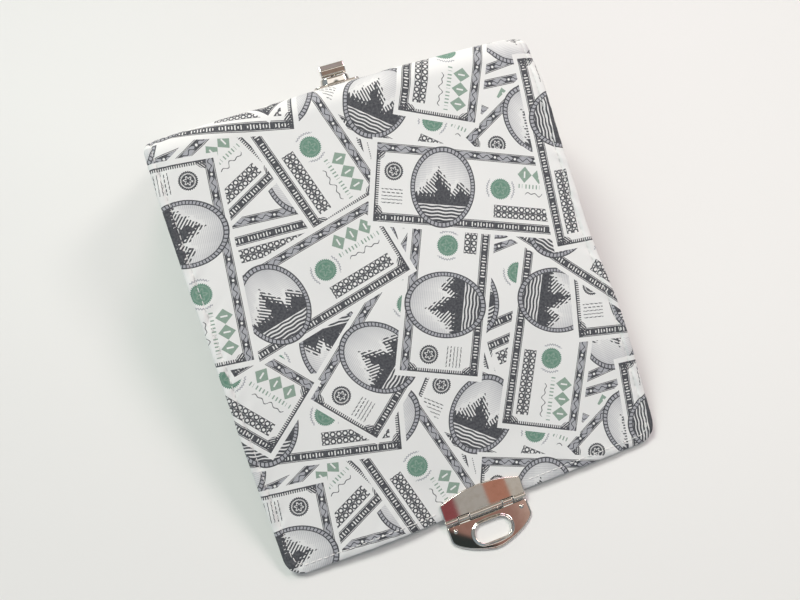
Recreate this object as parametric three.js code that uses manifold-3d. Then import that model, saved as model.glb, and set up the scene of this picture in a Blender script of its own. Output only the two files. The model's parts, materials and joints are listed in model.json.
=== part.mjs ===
// A long fabric wallet with a hinged turn lock, standing open like a tent with its outside up.
// Millimetres, +Z up. X runs along the folds, and +Y from the flap's end to the front panel.

import * as THREE from "three";
import { mergeVertices } from "three/addons/utils/BufferGeometryUtils.js";
import Module from "manifold-3d";

// Cover: one fabric wall, folded at the spine and at the bottom of the wallet.
const COVER_WIDTH = 200;
const COVER_WALL = 2.6;
const EDGE_WALL = 1.5;
const EDGE_BAND = 3;
const CORNER_RADIUS = 10;
const FLAP_SLOPE = THREE.MathUtils.degToRad(24.5);
const FRONT_SLOPE = THREE.MathUtils.degToRad(-53.5);
const SPINE_TURN = THREE.MathUtils.degToRad(-4);
const FLAP_LENGTH = 74;
const SPINE_LENGTH = 42;
const BACK_LENGTH = 96;
const FOLD_RADIUS = 11;

// Mesh density of the cover.
const COVER_COLUMNS = 26;
const CORNER_ROWS = 6;
const FLAP_ROWS = 8;
const SPINE_ROWS = 5;
const BACK_ROWS = 10;
const FOLD_ROWS = 9;
const FRONT_ROWS = 6;

// How the side edges stray from straight and how far the middle of the wall crowns outward,
// by distance along the cover from the flap's end.
const DRIFT = [
  { station: 0, left: 0.8, right: 0.0, crown: 0.0 },
  { station: 18, left: 0.6, right: 0.3, crown: 0.0 },
  { station: 66, left: 0.9, right: 0.6, crown: 0.8 },
  { station: 115, left: 0.6, right: -2.0, crown: 1.2 },
  { station: 152, left: 1.3, right: -1.4, crown: 1.4 },
  { station: 205, left: 0.2, right: 0.0, crown: 1.6 },
  { station: 225, left: 0.0, right: 0.0, crown: 1.6 },
  { station: 330, left: 0.0, right: 0.0, crown: 0.0 },
];

// Lock on the flap's end: a clamp and a hasp on one pin.
const FIT = 0.3;
const LOCK_SHIFT = 1;
const LEAF_WALL = 1;
const BACK_LEAF_WALL = 0.8;
const LEAF_BEVEL = 0.3;
const CLAMP_WEB = 0.7;
const CLAMP_END_HEIGHT = 8;
const CLAMP_MIDDLE_HEIGHT = 11.8;
const BACK_LEAF_REACH = 10;
const BARREL_RADIUS = 1.6;
const BORE_RADIUS = 1;
const PIN_RADIUS = 0.7;
const END_KNUCKLE = 6.7;
const HASP_KNUCKLE = 5.6;
const MIDDLE_KNUCKLE = 17.5;
const LOCK_WIDTH = 2 * END_KNUCKLE + 2 * HASP_KNUCKLE + MIDDLE_KNUCKLE + 4 * FIT;
const HASP_WALL = 1.4;
const HASP_BEVEL = 0.35;
const HASP_GAP = 2.2;
const HASP_SIDE = 8.7;
const HASP_DEPTH = 19.5;
const HASP_SHOULDER = 12.2;
const HASP_TAPER = 17.8;
const SLOT_LENGTH = 19;
const SLOT_HEIGHT = 9.5;
const SLOT_DEPTH = 10.4;
const SLOT_RIM = 1;
const SLOT_RIM_RISE = 0.7;
const STUD_RADIUS = 1;
const STUD_OFFSET = 17.8;
const STUD_DEPTH = 5.1;

// Catch on the front panel: base with an oval boss, and the knob that turns on it.
const CATCH_FROM_FOLD = 10.3;
const BASE_LENGTH = 24;
const BASE_HEIGHT = 13;
const BASE_WALL = 1.2;
const BASE_CORNER = 3;
const BOSS_LENGTH = 15;
const BOSS_HEIGHT = 7;
const BOSS_RISE = 3.4;
const KNOB_LENGTH = 13.2;
const KNOB_WIDTH = 6.5;
const KNOB_TOP_WIDTH = 3;
const KNOB_FOOT = 0.8;
const KNOB_SIDE = 2.7;
const KNOB_ROOF = 2.5;
const KNOB_GAP = 0.4;
const STEM_RADIUS = 1.6;
const STEM_HEAD_RADIUS = 2.6;
const STEM_HEAD_WALL = 0.7;
const PRONG_LENGTH = 3;
const PRONG_WALL = 0.8;
const PRONG_OFFSET = 8.5;
const PRONG_END = 0.5;
const WASHER_LENGTH = 23;
const WASHER_HEIGHT = 12;
const WASHER_WALL = 0.8;

const ROUND_SIDES = 20;

// The flap's middle line lies under the clamp's front leaf, whose face is level with the barrels.
const FLAP_OFFSET = BARREL_RADIUS - LEAF_WALL - FIT - COVER_WALL / 2;
const WEB_NEAR = BARREL_RADIUS - CLAMP_WEB;
const FLAP_START = BARREL_RADIUS + FIT;
const BACK_LEAF_TOP = FLAP_OFFSET - COVER_WALL / 2 - FIT;
const CLAMP_LOW = BACK_LEAF_TOP - BACK_LEAF_WALL;
// The clamp's lowest edge stands on the table.
const PIN_HEIGHT = -(WEB_NEAR * Math.sin(FLAP_SLOPE) + CLAMP_LOW * Math.cos(FLAP_SLOPE));

const wasm = await Module();
wasm.setup();

function toSolid(geometry) {
  const bare = geometry.clone();
  bare.deleteAttribute("normal");
  bare.deleteAttribute("uv");
  const merged = mergeVertices(bare);
  const vertProperties = new Float32Array(merged.attributes.position.array);
  const triVerts = new Uint32Array(merged.index.array);
  return new wasm.Manifold(new wasm.Mesh({ numProp: 3, vertProperties, triVerts }));
}

function toGeometry(solid) {
  const mesh = solid.getMesh();
  const geometry = new THREE.BufferGeometry();
  geometry.setAttribute("position", new THREE.BufferAttribute(mesh.vertProperties, 3));
  geometry.setIndex(new THREE.BufferAttribute(mesh.triVerts, 1));
  return geometry;
}

function box(x0, x1, y0, y1, z0, z1) {
  const geometry = new THREE.BoxGeometry(x1 - x0, y1 - y0, z1 - z0);
  return geometry.translate((x0 + x1) / 2, (y0 + y1) / 2, (z0 + z1) / 2);
}

// A profile drawn in the YZ plane, extruded along X between two ends.
function alongX(profile, x0, x1) {
  const geometry = new THREE.ExtrudeGeometry(profile, { depth: x1 - x0, bevelEnabled: false });
  const turn = new THREE.Matrix4().makeBasis(
    new THREE.Vector3(0, 1, 0), new THREE.Vector3(0, 0, 1), new THREE.Vector3(1, 0, 0));
  return geometry.translate(0, 0, x0).applyMatrix4(turn);
}

// A plate drawn in the XY plane, from z0 to z1, whose rims are bevelled.
function plate(outline, z0, z1, bevel) {
  const geometry = new THREE.ExtrudeGeometry(outline, {
    depth: z1 - z0 - 2 * bevel,
    bevelThickness: bevel,
    bevelSize: bevel,
    bevelOffset: -bevel,
    bevelSegments: 2,
    curveSegments: 10,
  });
  return geometry.translate(0, 0, z0 + bevel);
}

function rodAlongX(radius, x0, x1) {
  const geometry = new THREE.CylinderGeometry(radius, radius, x1 - x0, ROUND_SIDES);
  return geometry.rotateZ(Math.PI / 2).translate((x0 + x1) / 2, 0, 0);
}

function rodAlongZ(radius, z0, z1) {
  const geometry = new THREE.CylinderGeometry(radius, radius, z1 - z0, ROUND_SIDES);
  return geometry.rotateX(Math.PI / 2).translate(0, 0, (z0 + z1) / 2);
}

// An oval with straight long sides and half-round ends, centred on (0, y).
function oval(length, height, y) {
  const reach = (length - height) / 2;
  const shape = new THREE.Shape();
  shape.moveTo(-reach, y - height / 2);
  shape.lineTo(reach, y - height / 2);
  shape.absarc(reach, y, height / 2, -Math.PI / 2, Math.PI / 2);
  shape.lineTo(-reach, y + height / 2);
  shape.absarc(-reach, y, height / 2, Math.PI / 2, 1.5 * Math.PI);
  return shape;
}

function roundedRectangle(length, height, radius) {
  const x = length / 2 - radius;
  const y = height / 2 - radius;
  const shape = new THREE.Shape();
  shape.absarc(x, y, radius, 0, Math.PI / 2);
  shape.absarc(-x, y, radius, Math.PI / 2, Math.PI);
  shape.absarc(-x, -y, radius, Math.PI, 1.5 * Math.PI);
  shape.absarc(x, -y, radius, 1.5 * Math.PI, 2 * Math.PI);
  return shape;
}

function joined(geometries) {
  return geometries.map(toSolid).reduce((sum, solid) => sum.add(solid));
}

// The fold line: stretches of constant bend, from the flap's end to the table behind the ridge.
function layFoldLine() {
  const backSlope = FLAP_SLOPE + SPINE_TURN;
  const foldTurn = FRONT_SLOPE - backSlope;
  const start = new THREE.Vector2(
    FLAP_START * Math.cos(FLAP_SLOPE) - FLAP_OFFSET * Math.sin(FLAP_SLOPE),
    PIN_HEIGHT + FLAP_START * Math.sin(FLAP_SLOPE) + FLAP_OFFSET * Math.cos(FLAP_SLOPE));
  const stretches = [
    { length: FLAP_LENGTH, turn: 0, rows: FLAP_ROWS },
    { length: SPINE_LENGTH, turn: SPINE_TURN, rows: SPINE_ROWS },
    { length: BACK_LENGTH, turn: 0, rows: BACK_ROWS },
    { length: FOLD_RADIUS * Math.abs(foldTurn), turn: foldTurn, rows: FOLD_ROWS },
  ];
  let station = 0;
  let heading = FLAP_SLOPE;
  let point = start;
  const line = [];
  for (const { length, turn, rows } of stretches) {
    line.push({ station, length, turn, rows, heading, point });
    point = pointOn(line[line.length - 1], length).point;
    station += length;
    heading += turn;
  }
  const frontLength = point.y / Math.sin(-FRONT_SLOPE);
  line.push({ station, length: frontLength, turn: 0, rows: FRONT_ROWS, heading, point });
  return line;
}

// The place and heading at a distance along one stretch, straight or bent to an arc.
function pointOn(stretch, distance) {
  const { heading, point, length, turn } = stretch;
  const end = heading + turn * distance / length;
  const middle = (heading + end) / 2;
  const half = (end - heading) / 2;
  const chord = Math.abs(half) > 0 ? distance * Math.sin(half) / half : distance;
  return {
    point: new THREE.Vector2(point.x + chord * Math.cos(middle), point.y + chord * Math.sin(middle)),
    heading: end,
  };
}

const FOLD_LINE = layFoldLine();
const FRONT = FOLD_LINE[FOLD_LINE.length - 1];
const COVER_LENGTH = FRONT.station + FRONT.length;

function onFoldLine(station) {
  const stretch = FOLD_LINE.findLast((row) => station >= row.station) ?? FOLD_LINE[0];
  return pointOn(stretch, station - stretch.station);
}

// A column of the drift table at a station, eased from row to row.
function drift(column, station) {
  const next = Math.max(1, DRIFT.findIndex((row) => row.station >= station));
  const a = DRIFT[next - 1];
  const b = DRIFT[next];
  const t = THREE.MathUtils.smoothstep(station, a.station, b.station);
  return THREE.MathUtils.lerp(a[column], b[column], t);
}

// Mesh rows along the cover: equal steps on the stretches, and equal angles round the corners.
function coverStations() {
  const stations = [];
  for (let i = 0; i < CORNER_ROWS; i += 1) {
    stations.push(CORNER_RADIUS * (1 - Math.cos(i * Math.PI / 2 / CORNER_ROWS)));
  }
  for (const { station, length, rows } of FOLD_LINE) {
    const first = station === 0 ? CORNER_RADIUS : 0;
    const last = station === FRONT.station ? length - CORNER_RADIUS : length;
    for (let i = 0; i < rows; i += 1) {
      stations.push(station + first + (last - first) * i / rows);
    }
  }
  for (let i = CORNER_ROWS; i >= 0; i -= 1) {
    stations.push(COVER_LENGTH - CORNER_RADIUS * (1 - Math.cos(i * Math.PI / 2 / CORNER_ROWS)));
  }
  return stations;
}

// The cover is a flat sheet of its cut size, given its rounded corners and soft edges and then
// laid along the fold line. Its last edge is cut level, to stand on the table.
function coverGeometry() {
  const stations = coverStations();
  const rows = stations.length - 1;
  const sheet = new THREE.BoxGeometry(1, 1, 1, COVER_COLUMNS, rows, 1);
  const position = sheet.attributes.position;
  for (let i = 0; i < position.count; i += 1) {
    const across = Math.sin(Math.PI * position.getX(i));
    const station = stations[Math.round((position.getY(i) + 0.5) * rows)];
    const side = Math.sign(position.getZ(i));
    const toEnd = Math.min(station, COVER_LENGTH - station);
    const inCorner = Math.max(0, CORNER_RADIUS - toEnd);
    const inset = CORNER_RADIUS - Math.sqrt(CORNER_RADIUS ** 2 - inCorner ** 2);
    const stray = drift(across < 0 ? "left" : "right", station);
    const halfWidth = COVER_WIDTH / 2 + stray - inset;
    const toEdge = Math.min(halfWidth * (1 - Math.abs(across)), station);
    const soft = THREE.MathUtils.smoothstep(toEdge, -EDGE_BAND, EDGE_BAND) * 2 - 1;
    const wall = THREE.MathUtils.lerp(EDGE_WALL, COVER_WALL, soft);
    const depth = side * wall / 2 + drift("crown", station) * (1 - across ** 2);
    const level = Math.max(0, 1 - (COVER_LENGTH - station) / CORNER_RADIUS);
    const slide = -depth * level / Math.tan(FRONT_SLOPE);
    const { point, heading } = onFoldLine(station);
    position.setXYZ(i,
      across * halfWidth,
      point.x - depth * Math.sin(heading) + slide * Math.cos(heading),
      point.y + depth * Math.cos(heading) + slide * Math.sin(heading));
  }
  return sheet;
}

// Clamp: an arched front leaf and a back leaf, joined round the flap's edge by three knuckles.
function clampGeometry() {
  const half = LOCK_WIDTH / 2;
  const leafTop = FLAP_START + CLAMP_MIDDLE_HEIGHT;
  const leafEnd = FLAP_START + CLAMP_END_HEIGHT;
  const arch = new THREE.Shape();
  arch.moveTo(-half, FLAP_START);
  arch.lineTo(half, FLAP_START);
  arch.lineTo(half, leafEnd);
  arch.quadraticCurveTo(0, 2 * leafTop - leafEnd, -half, leafEnd);
  const leafLow = BARREL_RADIUS - LEAF_WALL;
  const pieces = [
    plate(arch, leafLow, BARREL_RADIUS, LEAF_BEVEL),
    box(-half, half, WEB_NEAR, BACK_LEAF_REACH, CLAMP_LOW, BACK_LEAF_TOP),
  ];
  const middle = MIDDLE_KNUCKLE / 2;
  const knuckles = [[-half, -half + END_KNUCKLE], [-middle, middle], [half - END_KNUCKLE, half]];
  for (const [x0, x1] of knuckles) {
    pieces.push(rodAlongX(BARREL_RADIUS, x0, x1));
    pieces.push(box(x0, x1, 0, FLAP_START + LEAF_WALL, leafLow, BARREL_RADIUS - LEAF_BEVEL));
    pieces.push(box(x0, x1, WEB_NEAR, BARREL_RADIUS, CLAMP_LOW, 0));
  }
  return toGeometry(joined(pieces).subtract(toSolid(rodAlongX(BORE_RADIUS, -LOCK_WIDTH, LOCK_WIDTH))));
}

// Hasp: a tapering plate flat on the table, with a rimmed slot, two studs and two knuckles.
function haspGeometry() {
  const half = LOCK_WIDTH / 2;
  const low = -PIN_HEIGHT;
  const top = low + HASP_WALL;
  const outline = new THREE.Shape();
  outline.moveTo(half, -HASP_GAP);
  outline.lineTo(-half, -HASP_GAP);
  outline.lineTo(-half, -HASP_SIDE);
  outline.bezierCurveTo(-half, -HASP_SHOULDER, -half / 2, -HASP_TAPER, 0, -HASP_DEPTH);
  outline.bezierCurveTo(half / 2, -HASP_TAPER, half, -HASP_SHOULDER, half, -HASP_SIDE);
  const rim = oval(SLOT_LENGTH + 2 * SLOT_RIM, SLOT_HEIGHT + 2 * SLOT_RIM, -SLOT_DEPTH);
  const slot = oval(SLOT_LENGTH, SLOT_HEIGHT, -SLOT_DEPTH);
  const pieces = [
    plate(outline, low, top, HASP_BEVEL),
    plate(rim, low, top + SLOT_RIM_RISE, HASP_BEVEL),
  ];
  for (const side of [-1, 1]) {
    const inner = side * (MIDDLE_KNUCKLE / 2 + FIT);
    const outer = inner + side * HASP_KNUCKLE;
    const x0 = Math.min(inner, outer);
    const x1 = Math.max(inner, outer);
    pieces.push(rodAlongX(BARREL_RADIUS, x0, x1));
    pieces.push(box(x0, x1, -HASP_GAP - 2 * HASP_BEVEL, 0, low, top));
    pieces.push(box(x0, x1, -BARREL_RADIUS, 0, low, 0));
    const stud = new THREE.SphereGeometry(STUD_RADIUS, 12, 8);
    pieces.push(stud.translate(side * STUD_OFFSET, -STUD_DEPTH, top));
  }
  const bore = rodAlongX(BORE_RADIUS, -LOCK_WIDTH, LOCK_WIDTH);
  const opening = plate(slot, low - HASP_WALL, top + 2 * HASP_WALL, 0);
  return toGeometry(joined(pieces).subtract(toSolid(bore)).subtract(toSolid(opening)));
}

function pinGeometry() {
  return rodAlongX(PIN_RADIUS, -LOCK_WIDTH / 2, LOCK_WIDTH / 2);
}

// Heights on the catch, measured outward from the front panel's face.
const BASE_TOP = FIT + BASE_WALL;
const BOSS_TOP = BASE_TOP + BOSS_RISE;
const KNOB_LOW = BOSS_TOP + KNOB_GAP;
const RECESS_TOP = FIT + 2 * FIT + STEM_HEAD_WALL;
const WASHER_TOP = -COVER_WALL - FIT;
const WASHER_LOW = WASHER_TOP - WASHER_WALL;

function prongs(spare, z0, z1) {
  const x = PRONG_LENGTH / 2 + spare;
  const y = PRONG_WALL / 2 + spare;
  return [-PRONG_OFFSET, PRONG_OFFSET].map((at) => box(at - x, at + x, -y, y, z0, z1));
}

// Catch base: a thin plate, an oval boss that the hasp's slot drops over, and two prongs.
function catchBaseGeometry() {
  const pieces = [
    plate(roundedRectangle(BASE_LENGTH, BASE_HEIGHT, BASE_CORNER), FIT, BASE_TOP, LEAF_BEVEL),
    plate(oval(BOSS_LENGTH, BOSS_HEIGHT, 0), FIT, BOSS_TOP, LEAF_BEVEL),
    ...prongs(0, WASHER_LOW - PRONG_END, BASE_TOP - LEAF_BEVEL),
  ];
  const stemHole = rodAlongZ(STEM_RADIUS + FIT, -FIT, BOSS_TOP + FIT);
  const recess = rodAlongZ(STEM_HEAD_RADIUS + FIT, -FIT, RECESS_TOP);
  return toGeometry(joined(pieces).subtract(toSolid(stemHole)).subtract(toSolid(recess)));
}

// Knob: a roofed bar on a stem, whose riveted head turns in a recess behind the base.
function knobGeometry() {
  const side = KNOB_LOW + KNOB_FOOT;
  const eave = side + KNOB_SIDE;
  const roof = eave + KNOB_ROOF;
  const foot = KNOB_WIDTH / 2 - KNOB_FOOT;
  const section = new THREE.Shape();
  section.moveTo(-foot, KNOB_LOW);
  section.lineTo(foot, KNOB_LOW);
  section.lineTo(KNOB_WIDTH / 2, side);
  section.lineTo(KNOB_WIDTH / 2, eave);
  section.lineTo(KNOB_TOP_WIDTH / 2, roof);
  section.lineTo(-KNOB_TOP_WIDTH / 2, roof);
  section.lineTo(-KNOB_WIDTH / 2, eave);
  section.lineTo(-KNOB_WIDTH / 2, side);
  const headLow = 2 * FIT;
  return toGeometry(joined([
    alongX(section, -KNOB_LENGTH / 2, KNOB_LENGTH / 2),
    rodAlongZ(STEM_RADIUS, headLow, side),
    rodAlongZ(STEM_HEAD_RADIUS, headLow, headLow + STEM_HEAD_WALL),
  ]));
}

// Washer: a plain plate inside the front panel, slit for the prongs.
function washerGeometry() {
  const outline = roundedRectangle(WASHER_LENGTH, WASHER_HEIGHT, BASE_CORNER);
  const slits = prongs(FIT, WASHER_LOW - WASHER_WALL, WASHER_TOP + WASHER_WALL);
  return toGeometry(toSolid(plate(outline, WASHER_LOW, WASHER_TOP, 0)).subtract(joined(slits)));
}

const printedCotton = { color: 0xe7e5e1, roughness: 0.85, metalness: 0 };
const polishedNickel = { color: 0xcfc9c4, roughness: 0.12, metalness: 1 };

function named(name, geometry, finish) {
  const mesh = new THREE.Mesh(geometry, new THREE.MeshStandardMaterial(finish));
  mesh.name = name;
  return mesh;
}

// The clamp and its pin are tilted with the flap, about the pin's line.
const clampPlace = new THREE.Group();
clampPlace.position.set(LOCK_SHIFT, 0, PIN_HEIGHT);
clampPlace.rotation.x = FLAP_SLOPE;
clampPlace.add(named("flap_clamp", clampGeometry(), polishedNickel));
clampPlace.add(named("hinge_pin", pinGeometry(), polishedNickel));

const haspPlace = new THREE.Group();
haspPlace.position.set(LOCK_SHIFT, 0, PIN_HEIGHT);
haspPlace.add(named("hasp", haspGeometry(), polishedNickel));

// The catch sits square on the front panel's outer face, close below the bottom fold.
const catchPlace = new THREE.Group();
const { point: catchPoint } = pointOn(FRONT, CATCH_FROM_FOLD);
const catchDepth = COVER_WALL / 2 + drift("crown", FRONT.station + CATCH_FROM_FOLD);
catchPlace.position.set(
  0,
  catchPoint.x - catchDepth * Math.sin(FRONT_SLOPE),
  catchPoint.y + catchDepth * Math.cos(FRONT_SLOPE));
catchPlace.rotation.x = FRONT_SLOPE;
catchPlace.add(named("catch_base", catchBaseGeometry(), polishedNickel));
catchPlace.add(named("turn_knob", knobGeometry(), polishedNickel));
catchPlace.add(named("catch_washer", washerGeometry(), polishedNickel));
catchPlace.updateMatrix();

const slits = joined(prongs(FIT, -2 * COVER_WALL, COVER_WALL).map((slit) => slit.applyMatrix4(catchPlace.matrix)));
const cover = named("cover", toGeometry(toSolid(coverGeometry()).subtract(slits)), printedCotton);

// The origin is on the table under the middle of the whole.
const wallet = new THREE.Group();
wallet.add(cover, clampPlace, haspPlace, catchPlace);
const bounds = new THREE.Box3().setFromObject(wallet, true);
const middle = bounds.getCenter(new THREE.Vector3());
wallet.position.set(-middle.x, -middle.y, -bounds.min.z);

export default wallet;
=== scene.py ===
"""Looks of a long fabric flap wallet with a hinged turn lock, standing open like a tent with its outside up.

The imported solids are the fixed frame. Metres, +Z up: X runs along the folds and +Y from the flap's end to the
front panel.
"""

import json
import math

import bpy
import numpy as np
from mathutils import Matrix, Vector


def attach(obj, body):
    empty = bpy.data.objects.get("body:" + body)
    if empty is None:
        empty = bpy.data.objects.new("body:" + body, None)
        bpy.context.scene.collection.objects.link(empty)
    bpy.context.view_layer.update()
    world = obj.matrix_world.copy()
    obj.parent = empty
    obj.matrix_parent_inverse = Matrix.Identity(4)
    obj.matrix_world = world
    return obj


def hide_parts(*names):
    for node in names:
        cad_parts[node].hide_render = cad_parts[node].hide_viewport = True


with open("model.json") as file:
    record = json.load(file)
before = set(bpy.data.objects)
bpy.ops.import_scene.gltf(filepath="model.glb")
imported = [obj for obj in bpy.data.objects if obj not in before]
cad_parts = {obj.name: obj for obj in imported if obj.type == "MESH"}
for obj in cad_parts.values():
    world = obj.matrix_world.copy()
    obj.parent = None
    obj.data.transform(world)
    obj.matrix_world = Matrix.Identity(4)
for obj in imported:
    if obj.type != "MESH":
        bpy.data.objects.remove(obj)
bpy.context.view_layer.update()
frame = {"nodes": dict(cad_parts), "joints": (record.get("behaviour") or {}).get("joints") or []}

bl_info = {
    "name": "Fabric wallet with a turn lock",
    "version": (1, 0, 0),
    "blender": (4, 5, 0),
    "location": "View3D > Sidebar > Wallet",
    "description": "Dresses the solids of a fabric wallet that stands open like a tent",
    "category": "Add Mesh",
}

MM = 0.001
TAU = 2 * math.pi

# Places and bodies of the frame.
JOINTS = {joint["name"]: joint for joint in frame["joints"]}
PIN = np.array(JOINTS["hasp_hinge"]["pos_m"])
CATCH = np.array(JOINTS["knob_turn"]["pos_m"])
WALLET, HASP, KNOB = "wallet", "hasp", "knob"
METAL_FINISH = "nickel_plate"

# How the cover's side edges stray and how far its middle crowns outward, in millimetres, by the
# distance along the cover from the flap's end: station, left, right, crown.
DRIFT = np.array([
    (0, 0.8, 0.0, 0.0), (18, 0.6, 0.3, 0.0), (66, 0.9, 0.6, 0.8), (115, 0.6, -2.0, 1.2),
    (152, 1.3, -1.4, 1.4), (205, 1.4, 0.5, 1.6), (225, 1.7, 2.0, 1.6), (330, 0.0, 0.0, 0.0),
]) * MM

# Slow waves of the cloth, in millimetres: height, length across, length along, phase across, phase along.
WAVES = np.array([(0.30, 150, 118, 0.4, 1.9), (0.22, 74, 92, 2.1, 0.3), (0.16, 43, 61, 4.0, 2.6)])

# Puckers along the seam, in millimetres: height, length along the edge, phase.
PUCKERS = np.array([(0.18, 9.2, 0.3), (0.14, 14.7, 1.7), (0.11, 6.1, 2.9)])

# Printed slips in one repeat of the pattern, from the lowest to the topmost: centre across and along in
# millimetres, turn in degrees.
SLIPS = [
    (50, 20, 4), (150, 22, -175), (75, 61, 176), (175, 62, 3),
    (40, 103, -4), (140, 102, 184), (70, 144, 2), (170, 143, -177),
    (26, 34, 41), (104, 18, -27), (170, 44, 74), (62, 72, 116), (127, 72, 13),
    (186, 98, -40), (20, 116, -66), (94, 112, 50), (150, 132, -13), (46, 152, 22), (104, 158, 97),
]
REPEAT = (200.0, 165.0)
SLIP_HALF = (52.0, 22.0)

# Distances from the cover's edge that follow its roll and its seam closely.
EDGE_STEPS = np.array([
    0, 0.04, 0.16, 0.36, 0.64, 1.0, 1.5, 2.2, 2.9, 3.4, 3.8, 4.1, 4.4, 4.7, 5.0, 5.4, 6.2, 7.4,
]) * MM

# Gaps between the cover's rows on its panels and over its bottom fold, and its columns from seam to seam.
ROW_GAP = 2.1 * MM
FOLD_GAP = 0.8 * MM
COLUMNS = 89

# Half width and reach of the cloth that the lock and the catch hold still, the ease beside it, and half width
# and reach of the cloth whose stitches the lock hides.
LOCK_HOLDS = (23 * MM, 16 * MM)
CATCH_HOLDS = (15 * MM, 10 * MM)
HELD_EASE = 13 * MM
LOCK_HIDES = (25 * MM, 16 * MM)

# A stitch from end to end: share of its length, then height and thickness in radii of the thread.
STITCH = np.array([
    (-0.5, -0.9, 0.35), (-0.44, -0.3, 0.8), (-0.3, 0.35, 1.0), (0.0, 0.6, 1.0),
    (0.3, 0.35, 1.0), (0.44, -0.3, 0.8), (0.5, -0.9, 0.35),
])

# A rounded rim in shares of its size: how far in from the end and from the face. The last row lies past the
# rim and keeps the face flat.
RIM = ((0.0, 1.0), (0.3, 0.3), (1.0, 0.0), (1.5, 0.0))

# Edges of the lock's plates, in millimetres outward and upward.
LEAF_TOP = ((-0.55, 0), (-0.65, 0))
HASP_FOOT = ((-0.3, 0), (-0.06, 0.08), (0, 0.3))
HASP_EDGE = ((0, -0.62), (-0.06, -0.42), (-0.22, -0.24), (-0.5, -0.08), (-0.8, 0), (-0.9, 0))
SLOT_LIP = (
    (1.85, 0), (1.75, 0), (1.45, 0.03), (1.15, 0.2), (0.9, 0.48),
    (0.6, 0.68), (0.35, 0.7), (0.13, 0.6), (0.02, 0.4), (0, 0),
)
SLOT_FOOT = ((0, 0.35), (0.1, 0.1), (0.35, 0))
BASE_FOOT = ((-0.25, 0), (0, 0.25))
BASE_EDGE = ((0, -0.5), (-0.06, -0.28), (-0.22, -0.1), (-0.5, 0), (-0.9, 0))
BOSS_FOOT = ((0.9, 0), (0.65, 0.06), (0.46, 0.25), (0.38, 0.5))
BOSS_EDGE = ((0, -0.9), (-0.1, -0.5), (-0.35, -0.18), (-0.75, -0.02), (-1.1, 0))
HOLE_EDGE = ((0.15, 0), (0, -0.15))

# Edge of the clamp's front leaf: millimetres inward, and height in shares of the leaf's wall.
LEAF_EDGE = ((0.3, 0.0), (0.06, 0.08), (0, 0.3), (0, 0.62), (0.05, 0.8), (0.16, 0.92), (0.36, 0.99))

# Ends of the knob: distance from the end, and share of the knob's section there.
KNOB_END = ((0, 0.9), (0.1 * MM, 0.965), (0.35 * MM, 1), (0.6 * MM, 1))

# Corners of the plates and of the knob, bearings of the barrels' seams, and the angles that stay sharp.
PLATE_CORNER = 0.5 * MM
KNOB_CORNER = 0.45 * MM
CLAMP_SEAM = math.radians(-60)
HASP_SEAM = math.radians(-120)
PLATE_SHARP = math.radians(50)
KNOB_SHARP = math.radians(28)

# Lamps: name, place and size in metres, power in watts, colour.
LAMPS = (
    ("right_lamp", (0.42, 0.03, 0.66), (0.2, 0.2), 1.5, (1.0, 0.91, 0.88)),
    ("far_lamp", (-1.63, 3.50, 4.60), (2.4, 1.8), 240.0, (0.925, 1.0, 0.92)),
    ("far_right_lamp", (2.61, 3.34, 4.24), (1.6, 1.6), 58.0, (1.0, 0.66, 0.80)),
)

# The camera that fits the photo, as columns: its right, its up, its back and its place in metres. Lens and
# sensor are in millimetres.
CAMERA = Matrix((
    (0.93974, 0.31713, -0.12774, -0.04738),
    (-0.34188, 0.8693, -0.35698, -0.13657),
    (-0.00217, 0.37914, 0.92534, 0.34485),
    (0.0, 0.0, 0.0, 1.0),
))
LENS = 29.25
SENSOR = 36.0
CLIP = (0.01, 20.0)
TABLE_REACH = 4.0


def length(name, description, millimetres):
    """A length of the wallet as a property, kept in metres."""
    return bpy.props.FloatProperty(
        name=name, description=description, default=millimetres * MM, precision=5,
        subtype="DISTANCE", unit="LENGTH")


def angle(name, description, degrees):
    """An angle of the wallet as a property, kept in radians."""
    return bpy.props.FloatProperty(
        name=name, description=description, default=math.radians(degrees), subtype="ANGLE", unit="ROTATION")


def colour(name, description, value):
    """A linear colour as a property."""
    return bpy.props.FloatVectorProperty(
        name=name, description=description, default=(*value, 1.0), size=4, min=0.0, max=1.0, subtype="COLOR")


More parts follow.
